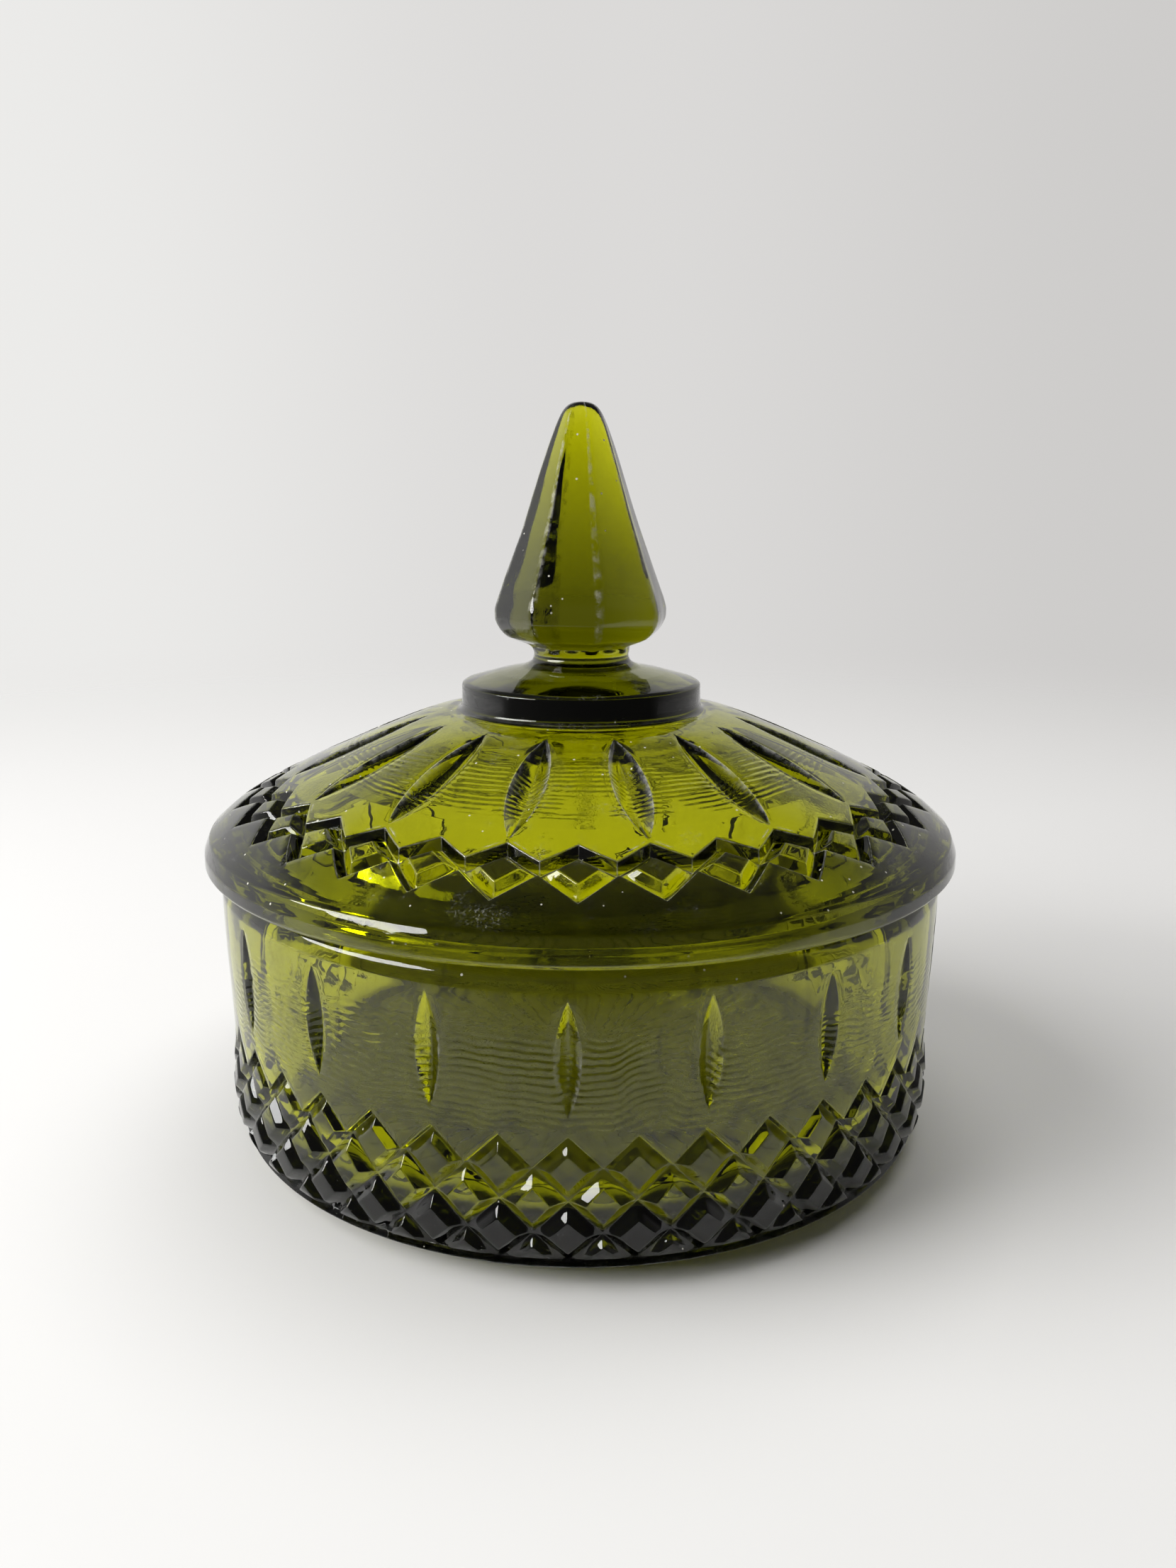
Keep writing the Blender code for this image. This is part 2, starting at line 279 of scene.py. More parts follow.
# ------------------------------------------------------------------------ bowl
def build_bowl(material):
    skin = Skin()
    wall = curve(BOWL_WALL)
    cols = BOWL_N * 12
    half = np.arange(BOWL_N * 2)

    def place(a, b, d):
        z = GRID_TOP - b * PITCH
        return polar(BOWL_TURN + TAU * a / BOWL_N, wall(z) - d, z)

    for row in (1, 2, 3):
        for i in range(BOWL_N):
            ac = i + (0.5 if row == 2 else 0.0)
            outer = [(ac, row - 1), (ac + 0.5, row), (ac, row + 1), (ac - 0.5, row)]
            inner = [(ac, row - TABLE), (ac + 0.5 * TABLE, row),
                     (ac, row + TABLE), (ac - 0.5 * TABLE, row)]
            diamond(skin, outer, inner, [SIDE] * 4, place, DEPTH,
                    RNG.normal(size=2) * 0.0007)
    mid = 3.584
    for i in range(BOWL_N):
        ac = i + 0.5
        outer = [(ac, 3), (ac + 0.5, 4), (ac - 0.5, 4)]
        inner = [(ac + (a - ac) * 0.42, mid + (b - mid) * 0.42) for a, b in outer]
        diamond(skin, outer, inner, [SIDE, SIDE_2, SIDE], place, DEPTH,
                RNG.normal(size=2) * 0.0007)

    # columns along the zigzag, two sides to each diamond
    a_zig = np.concatenate([(h + SIDE) / 2 for h in half])
    down = np.concatenate([(SIDE if h % 2 == 0 else 1 - SIDE) for h in half])
    z_zig = GRID_TOP - down * PITCH

    def ring_at(a, z, d):
        return skin.add(polar(BOWL_TURN + TAU * a / BOWL_N, wall(z) - d, z))

    # step up from the groove to the panels
    last = ring_at(a_zig, z_zig, DEPTH * 0.955)
    for up, share in ((0.0012, 0.90), (0.0085, 0.12), (0.0100, 0.025), (0.0120, 0.0)):
        now = ring_at(a_zig, z_zig + up, DEPTH * share)
        skin.bridge(last, now)
        last = now

    # the wall with its upright cuts: the columns follow each cut's outline
    lo, hi = BOWL_CUT
    inside = np.array([0.0, 0.09, 0.45, 0.86, 1.00, 1.13])
    jj = (np.arange(cols) + 12) % 24 - 12
    centre = (np.arange(cols) - jj) / 12.0
    g = np.where(np.abs(jj) <= 5, np.interp(np.abs(jj), range(6), inside), 0)

    def cut_width(z):
        t = (z - (lo + hi) / 2) / ((hi - lo) / 2)
        return BOWL_CUT_HALF * max(0.0, 1 - t * t) ** 0.9

    def wall_row(z, morph):
        r = float(wall(z))
        unit = TAU * r / BOWL_N                      # arc length of one diamond
        w = cut_width(z)
        shown = max(w, BOWL_CUT_HALF * 0.16)
        reach = inside[-1] * shown / unit
        out = reach + (1 - reach) * (np.abs(jj) - 5) / 7.0
        off = np.where(np.abs(jj) <= 5, g * shown / unit, out) * np.sign(jj)
        a = centre + off
        a = a_zig + (a - a_zig + BOWL_N / 2) % BOWL_N - BOWL_N / 2
        a = a_zig * (1 - morph) + a * morph
        x = np.abs(off) * unit
        d = np.where(x < 0.86 * w, (w - np.maximum(x, 0.05 * w)) / BOWL_CUT_SLOPE, 0)
        d = np.where((np.abs(jj) == 4) & (w > 0), 0.035 * w, d) * morph
        return a, d

    z0 = 0.404
    for t in (0.22, 0.5, 0.78, 1.0):
        a, d = wall_row(z0, t * t * (3 - 2 * t))
        start = z_zig + 0.0120
        now = ring_at(a, start + (z0 - start) * t, d * 0)
        skin.bridge(last, now)
        last = now
    n = 24
    rows = [lo + (hi - lo) * (1 - math.cos(math.pi * i / n)) / 2 for i in range(n + 1)]
    for z in rows + [0.681]:
        a, d = wall_row(z, 1.0)
        now = ring_at(a, np.full(cols, z), d)
        skin.bridge(last, now)
        last = now
    columns = wall_row(0.681, 1.0)[0]
    even = a_zig[0] + np.arange(cols) / 12.0

    # shoulder, ledge and down the inside
    top = rounded_path([
        (float(wall(0.681)), 0.681, 0), (0.9626, 0.6950, 0.03), (0.9555, 0.7200, 0.05),
        (0.9420, 0.7390, 0.03), (0.9250, 0.7482, 0.012), (0.8930, 0.7482, 0.012),
        (0.8840, 0.7410, 0.01), (0.8800, 0.7150, 0.05), (0.8730, 0.4600, 0.3),
        (0.8660, 0.2050, 0.1)], step=0.045)
    for i, p in enumerate(top[1:]):
        t = min(1.0, (i + 1) / 5.0)
        a = columns * (1 - t) + even * t
        now = skin.add(polar(BOWL_TURN + TAU * a / BOWL_N, p[0], p[1]))
        skin.bridge(last, now)
        last = now
    # half as many columns over the inside's lower part and the floor
    few = even[::2]
    inner = rounded_path([(0.8660, 0.2050, 0), (0.8520, 0.1520, 0.10),
                          (0.8150, 0.1160, 0.09), (0.7400, 0.0985, 0.10),
                          (0.0300, 0.0950, 0)], step=0.03)
    first = True
    for p in inner[1:]:
        now = skin.add(polar(BOWL_TURN + TAU * few / BOWL_N, p[0], p[1]))
        if first:
            skin.stitch(now, last)
            first = False
        else:
            skin.bridge(last, now)
        last = now
    skin.fan(last, skin.add([(0, 0, 0.095)])[0])

    # base line of the half diamonds, the smooth band below it and the foot
    z4 = GRID_TOP - 4 * PITCH
    last = ring_at(a_zig, np.full(cols, z4), DEPTH * 0.955)
    for dz, share in ((0.0010, 0.91), (0.0072, 0.10), (0.0084, 0.02), (0.0100, 0.0)):
        now = ring_at(a_zig, np.full(cols, z4 - dz), DEPTH * share)
        skin.bridge(last, now)
        last = now
    zb = z4 - 0.0100
    foot = rounded_path([(float(wall(zb)), zb, 0), (0.9370, 0.0480, 0.003),
                         (0.8760, 0.0045, 0.006), (0.8680, 0.0, 0.004),
                         (0.8000, 0.0, 0.006), (0.7500, 0.0060, 0)], step=0.025)
    for p in foot[1:]:
        now = skin.add(polar(BOWL_TURN + TAU * a_zig / BOWL_N, p[0], p[1]))
        skin.bridge(last, now)
        last = now
    # rays under the base
    few = a_zig[0] + np.arange(cols // 2) / 6.0
    ray = np.array([0.0, 0.5, 1.0, 0.5])[np.arange(cols // 2) % 4]
    first = True
    for r in (0.742, 0.73, 0.70, 0.64, 0.56, 0.48, 0.40, 0.32, 0.24, 0.16, 0.10, 0.06):
        rise = 0.0050 * min(1.0, (0.742 - r) / 0.02) * min(1.0, r / 0.30)
        now = skin.add(polar(BOWL_TURN + TAU * few / BOWL_N, r, 0.0060 + rise * ray))
        if first:
            skin.stitch(now, last)
            first = False
        else:
            skin.bridge(last, now)
        last = now
    skin.fan(last, skin.add([(0, 0, 0.006)])[0])

    # the uneven inside of a pressing
    for i, p in enumerate(skin.points):
        r = np.hypot(p[:, 0], p[:, 1])
        inside_face = (r < 0.884) & (p[:, 2] > 0.09) & (p[:, 2] < 0.735)
        ease = np.clip((0.735 - p[:, 2]) / 0.05, 0, 1) * inside_face
        push = wobble(p, 0.34) * 0.0011 + wobble(p + 3.1, 0.14) * 0.0004
        flat = p[:, 2] < 0.125
        p[:, 2] += np.where(flat & inside_face, push * ease, 0)
        s = np.where(flat | ~inside_face, 0, push * ease) / np.maximum(r, 1e-6)
        p[:, 0] *= 1 + s
        p[:, 1] *= 1 + s
    return skin.make("glass_bowl", material, "bowl", ["jar_bowl"])


# ------------------------------------------------------------------------- lid
def build_lid(material):
    skin = Skin()
    slope = curve(LID_SLOPE)
    cols = LID_N * 12
    few_n = cols // 3

    def place(a, r, d):
        z = slope(r)
        run = (slope(r + 0.004) - slope(r - 0.004)) / 0.008
        long = np.sqrt(1 + run * run)
        return polar(LID_TURN + TAU * a / LID_N, r + run / long * d, z - d / long)

    centre_r = (LID_TOP + LID_LOW) / 2
    reach = TABLE * (LID_LOW - LID_TOP) / 2
    for i in range(LID_N):
        outer = [(i, LID_TOP), (i + 0.5, LID_SIDE), (i, LID_LOW), (i - 0.5, LID_SIDE)]
        inner = [(i, centre_r - reach), (i + 0.5 * TABLE, centre_r - 0.004),
                 (i, centre_r + reach), (i - 0.5 * TABLE, centre_r - 0.004)]
        diamond(skin, outer, inner, [SIDE] * 4, place, LID_DEPTH,
                RNG.normal(size=2) * 0.0007)

    half = np.arange(LID_N * 2)
    a_zig = np.concatenate([(h + SIDE) / 2 for h in half])
    down = np.concatenate([(SIDE if h % 2 == 0 else 1 - SIDE) for h in half])

    def ring_at(a, r, d):
        return skin.add(place(a, r, d))

    # step from the panels down to the groove
    r_in = LID_TOP + (LID_SIDE - LID_TOP) * down
    r_edge = LID_PANEL[0] + (LID_PANEL[1] - LID_PANEL[0]) * down
    last = ring_at(a_zig, r_in, np.full(cols, LID_DEPTH * 0.955))
    for t, share in ((0.10, 0.91), (0.84, 0.13), (1.00, 0.025), (1.18, 0.0)):
        now = ring_at(a_zig, r_in + (r_edge - r_in) * t, np.full(cols, LID_DEPTH * share))
        skin.bridge(last, now)
        last = now
    panel_edge = r_in + (r_edge - r_in) * 1.18

    # panels with their cuts, from the zigzag up to the collar
    lo, hi = LID_CUT
    inside = np.array([0.0, 0.08, 0.45, 0.87, 1.00, 1.12])
    jj = np.arange(cols) % 24 - 12
    centre = (np.arange(cols) - jj) / 12.0
    g = np.where(np.abs(jj) <= 5, np.interp(np.abs(jj), range(6), inside), 0)

    def cut_width(r):
        s = (r - lo) / (hi - lo)
        if s <= 0 or s >= 1:
            return 0.0
        return LID_CUT_HALF * (4 * s * (1 - s)) ** 0.85 * (0.93 + 0.14 * s)

    def slope_row(r, morph):
        unit = TAU * r / LID_N
        w = cut_width(r)
        shown = max(w, LID_CUT_HALF * 0.16)
        far = inside[-1] * shown / unit
        out = far + (1 - far) * (np.abs(jj) - 5) / 7.0
        off = np.where(np.abs(jj) <= 5, g * shown / unit, out) * np.sign(jj)
        a = centre + off
        a = a_zig + (a - a_zig + LID_N / 2) % LID_N - LID_N / 2
        a = a_zig * (1 - morph) + a * morph
        x = np.abs(off) * unit
        d = np.where(x < 0.87 * w, (w - np.maximum(x, 0.04 * w)) / LID_CUT_SLOPE, 0)
        d = np.where((np.abs(jj) == 4) & (w > 0), 0.03 * w, d)
        return a, d

    r0 = 0.768
    for t in (0.25, 0.55, 0.8, 1.0):
        a, d = slope_row(r0, t * t * (3 - 2 * t))
        now = ring_at(a, panel_edge + (r0 - panel_edge) * t, d * 0)
        skin.bridge(last, now)
        last = now
    n = 26
    for i in range(n + 1):
        r = hi + (lo - hi) * (1 - math.cos(math.pi * i / n)) / 2
        a, d = slope_row(r, 1.0)
        now = ring_at(a, np.full(cols, r), d)
        skin.bridge(last, now)
        last = now
    a_in = slope_row(0.40, 1.0)[0]
    even = a_zig[0] + np.arange(cols) / 12.0
    collar = rounded_path([
        (lo, float(slope(lo)), 0), (0.362, float(slope(0.362)), 0.05),
        (0.3225, 1.1190, 0.016), (0.3215, 1.1500, 0.3), (0.3205, 1.1857, 0.007),
        (0.3090, 1.1925, 0.02), (0.2500, 1.2085, 0)], step=0.014)
    for i, p in enumerate(collar[1:]):
        t = min(1.0, (i + 1) / 4.0)
        now = skin.add(polar(LID_TURN + TAU * (a_in * (1 - t) + even * t) / LID_N, p[0], p[1]))
        skin.bridge(last, now)
        last = now

    # a third as many columns up the neck and knob, shared out over its 8 sides
    side = TAU / 8
    per = few_n // 8
    base = np.arange(few_n) * TAU / few_n
    shift = round((KNOB_CORNER - LID_TURN) / (TAU / few_n))
    start = KNOB_CORNER - shift * TAU / few_n            # within half a column

    def lump(p, rc):
        where = np.column_stack([p[:, 0], p[:, 1], np.full(len(p), 2.6 * rc)])
        return wobble(where, 0.16)[:, None]

    def section(rc, round_off, knob):
        """Points of a rounded octagon (knob 1) or a circle (knob 0)."""
        rho = min(round_off / max(rc, 1e-6), 0.85)
        arc_c = 1 - rho / math.cos(side / 2)
        out = []
        for i in range(8):
            c0 = KNOB_CORNER + i * side
            c1 = c0 + side

            def arc(c, off):
                return (arc_c * np.array([math.sin(c), math.cos(c)])
                        + rho * np.array([math.sin(c + off), math.cos(c + off)]))
            pts = [arc(c0, 0), arc(c0, side / 4), arc(c0, side / 2)]
            e0, e1 = pts[-1], arc(c1, -side / 2)
            pts += [e0 + (e1 - e0) * k / (per - 4) for k in range(1, per - 4)]
            pts += [e1, arc(c1, -side / 4)]
            out += pts
        oct_ = np.array(out) * rc
        ang = KNOB_CORNER + np.arange(few_n) * TAU / few_n
        circ = np.stack([np.sin(ang), np.cos(ang)], 1) * rc
        p = oct_ * knob + circ * (1 - knob)
        p = np.roll(p, shift, axis=0)
        return p * (1 + 0.006 * knob * lump(p, rc))

    def knob_ring(rc, z, knob, round_off=KNOB_ROUND):
        p = section(rc, round_off, knob)
        return skin.add(np.stack([p[:, 0], -p[:, 1], np.full(few_n, z)], 1))

    neck = rounded_path([
        (0.2500, 1.2085, 0), (0.2270, 1.2150, 0.05), (0.1600, 1.2290, 0.035),
        (0.1320, 1.2430, 0.020), (0.1262, 1.2600, 0.02), (0.1290, 1.2720, 0)], step=0.010)
    first = True
    for p in neck[1:]:
        now = knob_ring(p[0], p[1], 0.0)
        if first:
            skin.stitch(now, last)
            first = False
        else:
            skin.bridge(last, now)
        last = now
    rc = curve(sorted(KNOB))
    zs = [1.2760, 1.2790, 1.2830, 1.2890, 1.2960, 1.3030, 1.3103, 1.3200, 1.3300, 1.3400,
          1.3480, 1.3550, 1.3620, 1.3690, 1.3770, 1.3860, 1.3960, 1.4090, 1.4300]
    zs += list(np.linspace(1.4600, 1.8350, 17))
    zs += [1.8480, 1.8580, 1.8670, 1.8750, 1.8830, 1.8900, 1.8960, 1.9010, 1.9045,
           1.9068, 1.9082]
    for z in zs:
        share = min(1.0, max(0.0, (z - 1.2735) / 0.010)) * min(1.0, (1.9085 - z) / 0.045)
        now = knob_ring(float(rc(z)), z, share)
        skin.bridge(last, now)
        last = now
    skin.fan(last, skin.add([(0, 0, 1.9090)])[0])

    # from the lower groove over the rim, under it and up the inside
    r_low = LID_LOW + (LID_SIDE - LID_LOW) * down
    r_rim = LID_RIM[0] + (LID_RIM[1] - LID_RIM[0]) * down
    last = ring_at(a_zig, r_low, np.full(cols, LID_DEPTH * 0.955))
    for t, share in ((0.10, 0.91), (0.84, 0.13), (1.00, 0.025), (1.18, 0.0)):
        now = ring_at(a_zig, r_low + (r_rim - r_low) * t, np.full(cols, LID_DEPTH * share))
        skin.bridge(last, now)
        last = now
    rim_edge = r_low + (r_rim - r_low) * 1.18
    for t in (0.25, 0.5, 0.75, 1.0):
        a = a_zig * (1 - t) + even * t
        now = ring_at(a, rim_edge + (0.966 - rim_edge) * t, np.zeros(cols))
        skin.bridge(last, now)
        last = now
    rim = rounded_path([
        (0.966, float(slope(0.966)), 0), (0.9850, 0.8235, 0.016), (0.9985, 0.7900, 0.030),
        (1.0000, 0.7640, 0.010), (0.9900, 0.7525, 0.005), (0.8660, 0.7525, 0.006),
        (0.8600, 0.7060, 0.006), (0.8520, 0.7000, 0.004), (0.8210, 0.7000, 0.005),
        (0.8120, 0.7070, 0.02), (0.7960, 0.8240, 0.06), (0.7480, 0.8820, 0.05),
        (0.6650, 0.9260, 0.03), (0.5000, 0.9950, 0.3), (0.4200, 1.0280, 0)], step=0.026)
    for p in rim[1:]:
        now = skin.add(polar(LID_TURN + TAU * even / LID_N, min(p[0], 0.9998), p[1]))
        skin.bridge(last, now)
        last = now
    few = even[::3]
    crown = rounded_path([(0.4200, 1.0280, 0), (0.3000, 1.0580, 0.2), (0.0300, 1.0680, 0)],
                         step=0.03)
    first = True
    for p in crown[1:]:
        now = skin.add(polar(LID_TURN + TAU * few / LID_N, p[0], p[1]))
        if first:
            skin.stitch(now, last)
            first = False
        else:
            skin.bridge(last, now)
        last = now
    skin.fan(last, skin.add([(0, 0, 1.068)])[0])

    under = curve([(0.0, 1.068), (0.30, 1.058), (0.42, 1.028), (0.50, 0.995),
                   (0.665, 0.926), (0.748, 0.882), (0.796, 0.81), (0.81, 0.70)])
    for p in skin.points:
        r = np.hypot(p[:, 0], p[:, 1])
        near = np.abs(p[:, 2] - under(r)) < 0.012
        ease = np.clip((0.79 - r) / 0.05, 0, 1) * near
        p[:, 2] += ease * (wobble(p, 0.30) * 0.0011 + wobble(p + 5.3, 0.13) * 0.0004)
    return skin.make("glass_lid", material, "lid", ["jar_lid"])


# -------------------------------------------------------------------- material
def link(tree, a, b):
    tree.links.new(a, b)


class Net:
    """Short names for building a node tree."""

    def __init__(self, tree):
        self.tree = tree

    def node(self, kind, inputs=(), **settings):
        n = self.tree.nodes.new(kind)
        for key, value in settings.items():
            setattr(n, key, value)
        for key, value in dict(inputs).items():
            self.put(n.inputs[key], value)
        return n

    def put(self, socket, value):
        if hasattr(value, "is_output"):
            self.tree.links.new(value, socket)
        else:
            socket.default_value = value

    def math(self, op, a, b=None, c=None, clamp=False):
        n = self.tree.nodes.new("ShaderNodeMath")
        n.operation = op
        n.use_clamp = clamp
        for i, v in enumerate((a, b, c)):
            if v is not None:
                self.put(n.inputs[i], v)
        return n.outputs[0]

    def span(self, value, low, high, to_low=0.0, to_high=1.0):
        n = self.node("ShaderNodeMapRange", {
            "Value": value, "From Min": low, "From Max": high,
            "To Min": to_low, "To Max": to_high}, interpolation_type="SMOOTHSTEP")
        return n.outputs["Result"]

    def noise(self, where, scale, detail=2.0, rough=0.5):
        n = self.node("ShaderNodeTexNoise", {"Vector": where, "Scale": scale,
                                            "Detail": detail, "Roughness": rough})
        return n.outputs["Fac"]


def glass(name, seed, is_lid):
    """Olive pressed glass: absorbing body, uneven fire-polished skin, dust, wear and painted shade
    on the knob.
    """
    mat = bpy.data.materials.new(name)
    mat.use_nodes = True
    t = mat.node_tree
    t.nodes.clear()
    net = Net(t)
    out = t.nodes.new("ShaderNodeOutputMaterial")
    p = t.nodes.new("ShaderNodeBsdfPrincipled")
    p.inputs["IOR"].default_value = 1.52
    v = t.nodes.new("ShaderNodeVolumeAbsorption")
    v.inputs["Color"].default_value = (0.887, 0.891, 0.05, 1)
    v.inputs["Density"].default_value = 560.0
    link(t, p.outputs["BSDF"], out.inputs["Surface"])
    link(t, v.outputs["Volume"], out.inputs["Volume"])

    coord = net.node("ShaderNodeTexCoord").outputs["Object"]
    where = net.node("ShaderNodeVectorMath", {0: coord, 1: (seed * 0.37, seed * 0.11, seed * 0.53)},
                     operation="ADD").outputs[0]
    sep = net.node("ShaderNodeSeparateXYZ", {0: coord})
    x, y, z = sep.outputs["X"], sep.outputs["Y"], sep.outputs["Z"]
    radius = net.math("SQRT", net.math("ADD", net.math("MULTIPLY", x, x),
                                       net.math("MULTIPLY", y, y)))
    normal = net.node("ShaderNodeNewGeometry")
    nz = net.node("ShaderNodeSeparateXYZ", {0: normal.outputs["Normal"]}).outputs["Z"]
    up = net.span(nz, 0.15, 0.75)

    # relief, in millimetres
    broad = net.math("MULTIPLY", net.noise(where, 110.0, 2.0), 0.085)
    patch = net.span(net.noise(where, 70.0, 3.0), 0.48, 0.66)
    stipple = net.math("MULTIPLY", net.noise(where, 1500.0, 2.0, 0.6),
                       net.math("MULTIPLY", patch, 0.020 if is_lid else 0.006))
    warp = net.noise(where, 60.0, 3.0)
    if is_lid:
        # chill ripples: arcs about the axis below the collar
        phase = net.math("ADD", net.math("MULTIPLY", radius, math.tau / 0.00115),
                         net.math("MULTIPLY", warp, 16.0))
        ring = net.math("MULTIPLY", net.span(radius, 0.0350, 0.0430),
                        net.math("MULTIPLY", net.span(radius, 0.0450, 0.0436),
                                 net.span(nz, 0.20, 0.50)))
        tall = net.math("MULTIPLY", net.span(net.noise(where, 120.0, 2.0), 0.34, 0.58), 0.040)
        wave = net.math("MULTIPLY", net.math("SINE", phase), net.math("MULTIPLY", ring, tall))
        # and faint lines running round the rim's slope
        phase2 = net.math("ADD", net.math("MULTIPLY", radius, math.tau / 0.0007),
                          net.math("MULTIPLY", warp, 14.0))
        low = net.math("MULTIPLY", net.span(radius, 0.0635, 0.0665), 0.0030)
        wave2 = net.math("MULTIPLY", net.math("SINE", phase2), low)
        wave = net.math("ADD", wave, wave2)
    else:
        # flow lines like wood grain across the wall
        stretch = net.node("ShaderNodeVectorMath", {0: where, 1: (1.0, 1.0, 0.45)},
                           operation="MULTIPLY").outputs[0]
        warp2 = net.noise(stretch, 75.0, 3.0)
        phase = net.math("ADD", net.math("MULTIPLY", z, math.tau / 0.0012),
                         net.math("MULTIPLY", warp2, 46.0))
        tall = net.math("MULTIPLY", net.span(net.noise(where, 55.0, 2.0), 0.34, 0.56), 0.023)
        tall = net.math("MULTIPLY", tall, net.math(
            "MULTIPLY", net.span(z, 0.0252, 0.0275), net.span(z, 0.0435, 0.0370)))
        wave = net.math("MULTIPLY", net.math("SINE", phase), tall)
    height = net.math("ADD", net.math("ADD", broad, stipple), wave)
    bump = net.node("ShaderNodeBump", {"Strength": 1.0, "Distance": 0.001, "Height": height})
    link(t, bump.outputs["Normal"], p.inputs["Normal"])

    # dust specks, films of dust, worn ridges and dirt left in the grooves
    cells = net.node("ShaderNodeTexVoronoi", {"Vector": where, "Scale": 430.0})
    pick = net.node("ShaderNodeSeparateXYZ", {0: cells.outputs["Color"]})
    speck = net.math("MULTIPLY", net.span(cells.outputs["Distance"], 0.105, 0.060),
                     net.span(pick.outputs["X"], 0.72, 0.74))
    speck = net.math("MULTIPLY", speck, net.span(nz, -0.05, 0.35))
    fine = net.noise(where, 2600.0, 3.0, 0.65)
    grit = net.span(fine, 0.50, 0.68)
    film = net.math("MULTIPLY", net.span(net.noise(where, 140.0, 4.0, 0.62), 0.55, 0.74), grit)
    film = net.math("MULTIPLY", film, net.math("MULTIPLY", up, 0.17 if is_lid else 0.08))
    ridge = net.math("POWER", net.node("ShaderNodeAttribute",
                                       attribute_name="ridge").outputs["Fac"], 4.0)
    groove = net.math("POWER", net.node("ShaderNodeAttribute",
                                        attribute_name="groove").outputs["Fac"], 4.0)
    broken = net.span(net.noise(where, 520.0, 4.0, 0.7), 0.36, 0.66)
    worn = net.math("MULTIPLY", ridge, net.math("MULTIPLY", broken, 0.40 if is_lid else 0.16))
    dirt = net.math("MULTIPLY", groove, net.math("MULTIPLY", broken, 0.60 if is_lid else 0.20))
    if is_lid:
        # dust held along the knob's eight corners
        turn = net.math("SUBTRACT", net.math("ARCTAN2", y, x), KNOB_CORNER)
        edge = net.math("COSINE", net.math("MULTIPLY", turn, 8.0))
        edge = net.math("MULTIPLY", net.span(edge, 0.86, 1.0), net.span(z, 0.0905, 0.0935))
        scuff = net.span(net.noise(where, 420.0, 4.0, 0.7), 0.42, 0.66)
        film = net.math("ADD", film, net.math("MULTIPLY", edge, net.math(
            "MULTIPLY", scuff, 0.34)))
    cover = net.math("ADD", net.math("MULTIPLY", speck, 0.9), film)
    cover = net.math("ADD", cover, net.math("ADD", worn, dirt), clamp=True)
    link(t, net.math("SUBTRACT", 1.0, cover), p.inputs["Transmission Weight"])
    tint = net.node("ShaderNodeMix", data_type="RGBA")
    net.put(tint.inputs["Factor"], net.math("MULTIPLY", cover, 2.2, clamp=True))
    tint.inputs["A"].default_value = (1.0, 1.0, 0.985, 1)
    if is_lid:
        # painted shade on the knob: its base colour greyed, heavier towards its foot
        knob_painted_shade = net.node("ShaderNodeMix", data_type="RGBA")
        net.put(knob_painted_shade.inputs["Factor"], net.math(
            "MULTIPLY", net.span(z, 0.0885, 0.0900), net.span(z, 0.1330, 0.0980)))
        knob_painted_shade.inputs["A"].default_value = (1.0, 1.0, 0.985, 1)
        knob_painted_shade.inputs["B"].default_value = (0.70, 0.69, 0.62, 1)
        link(t, knob_painted_shade.outputs["Result"], tint.inputs["A"])
    tint.inputs["B"].default_value = (0.72, 0.70, 0.60, 1)
    link(t, tint.outputs["Result"], p.inputs["Base Color"])
    rough = net.math("ADD", net.math("MULTIPLY", cover, 0.55),
                     net.math("MULTIPLY", patch, 0.03 if is_lid else 0.015), clamp=True)
    link(t, rough, p.inputs["Roughness"])
    return mat


bowl = build_bowl(glass("bowl_glass_look", 1.0, False))
lid = build_lid(glass("lid_glass_look", 2.0, True))


# ----------------------------------------------------------------------- stage
def paper():
    mat = bpy.data.materials.new("paper")
    mat.use_nodes = True
    t = mat.node_tree
    t.nodes.clear()
    out = t.nodes.new("ShaderNodeOutputMaterial")
    d = t.nodes.new("ShaderNodeBsdfDiffuse")
    d.inputs["Color"].default_value = (0.82, 0.812, 0.80, 1)
    clear = t.nodes.new("ShaderNodeBsdfTransparent")
    mix = t.nodes.new("ShaderNodeMixShader")
    where = t.nodes.new("ShaderNodeTexCoord")
    size = t.nodes.new("ShaderNodeVectorMath")
    size.operation = "LENGTH"
    fade = t.nodes.new("ShaderNodeMapRange")
    fade.interpolation_type = "SMOOTHSTEP"
    fade.inputs["From Min"].default_value = 0.20
    fade.inputs["From Max"].default_value = 0.85
    link(t, where.outputs["Object"], size.inputs[0])
    link(t, size.outputs["Value"], fade.inputs["Value"])
    part = t.nodes.new("ShaderNodeSeparateXYZ")
    link(t, where.outputs["Object"], part.inputs[0])
    front = t.nodes.new("ShaderNodeMapRange")
    front.interpolation_type = "SMOOTHSTEP"
    front.inputs["From Min"].default_value = -0.118
    front.inputs["From Max"].default_value = -0.185
    link(t, part.outputs["Y"], front.inputs["Value"])
    both = t.nodes.new("ShaderNodeMath")
    both.operation = "MAXIMUM"
    link(t, fade.outputs["Result"], both.inputs[0])
    link(t, front.outputs["Result"], both.inputs[1])
    link(t, both.outputs[0], mix.inputs["Fac"])
    link(t, d.outputs["BSDF"], mix.inputs[1])
    link(t, clear.outputs["BSDF"], mix.inputs[2])
    link(t, mix.outputs["Shader"], out.inputs["Surface"])
    return mat


mesh = bpy.data.meshes.new("floor")
s = 2.0
mesh.from_pydata([(-s, -s, 0), (s, -s, 0), (s, s, 0), (-s, s, 0)], [], [(0, 1, 2, 3)])
floor = bpy.data.objects.new("floor", mesh)
floor.location.z = -0.0002
mesh.materials.append(paper())
bpy.context.scene.collection.objects.link(floor)


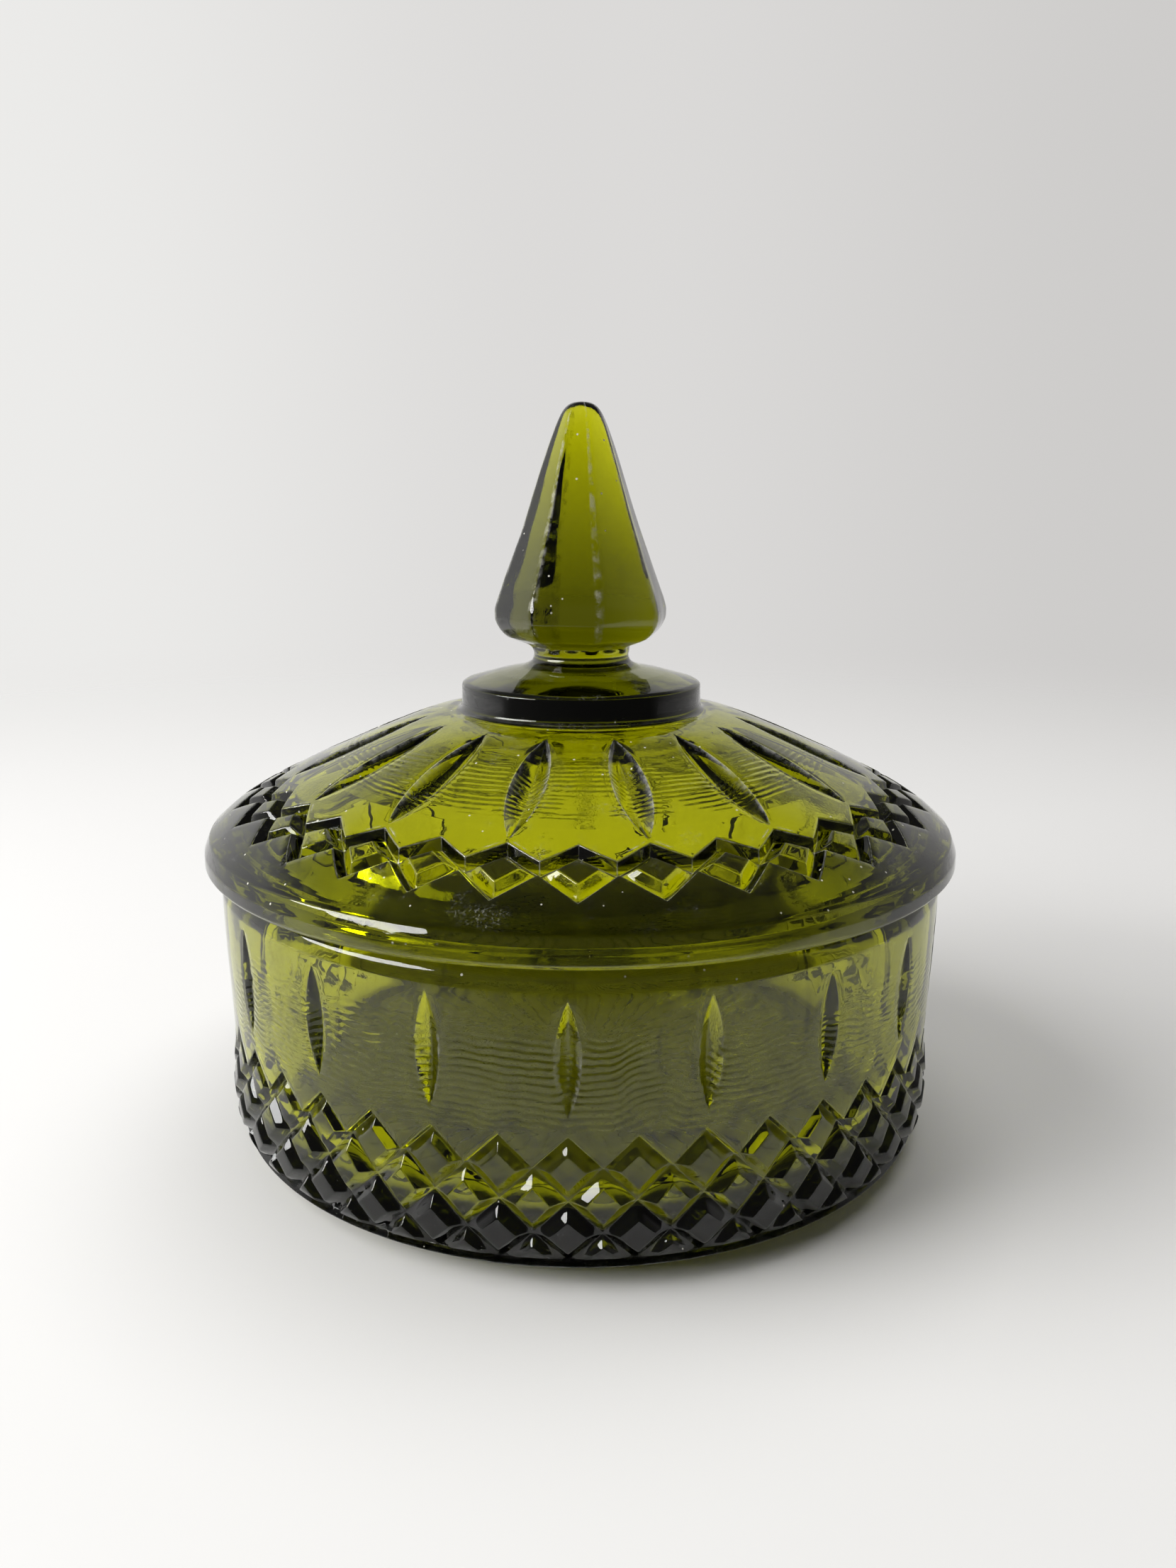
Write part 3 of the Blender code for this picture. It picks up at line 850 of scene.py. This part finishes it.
def make_world():
    world = bpy.data.worlds.new("studio")
    bpy.context.scene.world = world
    world.use_nodes = True
    t = world.node_tree
    t.nodes.clear()
    out = t.nodes.new("ShaderNodeOutputWorld")
    bg = t.nodes.new("ShaderNodeBackground")
    coord = t.nodes.new("ShaderNodeTexCoord")
    sep = t.nodes.new("ShaderNodeSeparateXYZ")
    link(t, coord.outputs["Generated"], sep.inputs[0])

    def math_node(op, a, b=None):
        n = t.nodes.new("ShaderNodeMath")
        n.operation = op
        for i, v in enumerate((a, b)):
            if v is None:
                continue
            if isinstance(v, (int, float)):
                n.inputs[i].default_value = v
            else:
                link(t, v, n.inputs[i])
        return n.outputs[0]

    def ramp(value, stops):
        n = t.nodes.new("ShaderNodeValToRGB")
        n.color_ramp.interpolation = "EASE"
        while len(n.color_ramp.elements) < len(stops):
            n.color_ramp.elements.new(0.5)
        for e, (pos, c) in zip(n.color_ramp.elements, stops):
            e.position = pos
            e.color = (*c, 1) if isinstance(c, tuple) else (c, c, c, 1)
        link(t, value, n.inputs["Fac"])
        return n.outputs["Color"]

    # share of the way round from the left (0) to the right (1), seen from the front
    across = math_node("ADD", math_node("MULTIPLY", sep.outputs["X"], 0.5), 0.5)
    side = ramp(across, [(0.0, (0.98, 0.975, 0.96)), (0.28, (0.84, 0.835, 0.82)),
                         (0.5, (0.71, 0.70, 0.69)), (0.72, (0.61, 0.60, 0.59)),
                         (1.0, (0.42, 0.41, 0.40))])
    # the room behind the viewer is dark
    ahead = math_node("ADD", math_node("MULTIPLY", sep.outputs["Y"], 0.5), 0.5)
    room = ramp(ahead, [(0.0, 0.10), (0.30, 0.14), (0.52, 0.80), (0.62, 1.0)])
    # and so is its ceiling
    height = math_node("ADD", math_node("MULTIPLY", sep.outputs["Z"], 0.5), 0.5)
    above = ramp(height, [(0.0, 1.0), (0.72, 1.0), (0.85, 0.16), (1.0, 0.10)])
    path = t.nodes.new("ShaderNodeLightPath")
    mul = t.nodes.new("ShaderNodeMix")
    mul.data_type = "RGBA"
    mul.blend_type = "MULTIPLY"
    mul.inputs["Factor"].default_value = 1.0
    link(t, side, mul.inputs["A"])
    link(t, room, mul.inputs["B"])
    mul2 = t.nodes.new("ShaderNodeMix")
    mul2.data_type = "RGBA"
    mul2.blend_type = "MULTIPLY"
    mul2.inputs["Factor"].default_value = 1.0
    link(t, mul.outputs["Result"], mul2.inputs["A"])
    link(t, above, mul2.inputs["B"])
    seen = t.nodes.new("ShaderNodeMix")
    seen.data_type = "RGBA"
    link(t, path.outputs["Is Camera Ray"], seen.inputs["Factor"])
    link(t, mul2.outputs["Result"], seen.inputs["A"])
    link(t, side, seen.inputs["B"])
    link(t, seen.outputs["Result"], bg.inputs["Color"])
    link(t, bg.outputs["Background"], out.inputs["Surface"])


make_world()


def softbox(name, direction, distance, width, height, power, target=(0, 0, 0.05),
            shape="RECTANGLE"):
    data = bpy.data.lights.new(name, "AREA")
    data.shape = shape
    data.size, data.size_y = width, height
    data.energy = power
    ob = bpy.data.objects.new(name, data)
    d = Vector(direction).normalized()
    ob.location = Vector(target) + d * distance
    ob.rotation_euler = d.to_track_quat("Z", "Y").to_euler()
    ob.visible_camera = False
    bpy.context.scene.collection.objects.link(ob)
    return ob


softbox("window", (-0.86, -0.38, 0.40), 0.80, 0.66, 0.22, 4.4, shape="ELLIPSE")
# large soft lights over the table, kept out of the glass's reflections
for name, direction, power in (("left_fill", (-0.74, -0.10, 0.60), 55.0),
                               ("top_fill", (0.16, 0.20, 1.00), 38.0)):
    fill = softbox(name, direction, 3.0, 2.2, 2.2, power)
    fill.visible_glossy = False
    fill.visible_transmission = False

# ---------------------------------------------------------------------- camera
cam_data = bpy.data.cameras.new("camera")
cam = bpy.data.objects.new("camera", cam_data)
bpy.context.scene.collection.objects.link(cam)
cam_data.sensor_width = 36.0
cam_data.lens = 1682.45 / 2212 * 36.0
cam_data.clip_start = 0.01
cam_data.clip_end = 20.0
cam.matrix_world = (Matrix.Translation((0.0192 * R, -3.20311 * R, 1.65216 * R))
                    @ Matrix.Rotation(math.pi / 2 - 0.23051, 4, "X")
                    @ Matrix.Rotation(0.00351, 4, "Z"))
bpy.context.scene.camera = cam

# ---------------------------------------------------------------------- render
scene = bpy.context.scene
scene.view_settings.view_transform = "Standard"
scene.view_settings.look = "None"
scene.cycles.max_bounces = 24
scene.cycles.transmission_bounces = 24
scene.cycles.glossy_bounces = 12
scene.cycles.diffuse_bounces = 4
scene.cycles.transparent_max_bounces = 12
scene.cycles.sample_clamp_indirect = 8.0
scene.cycles.use_denoising = True
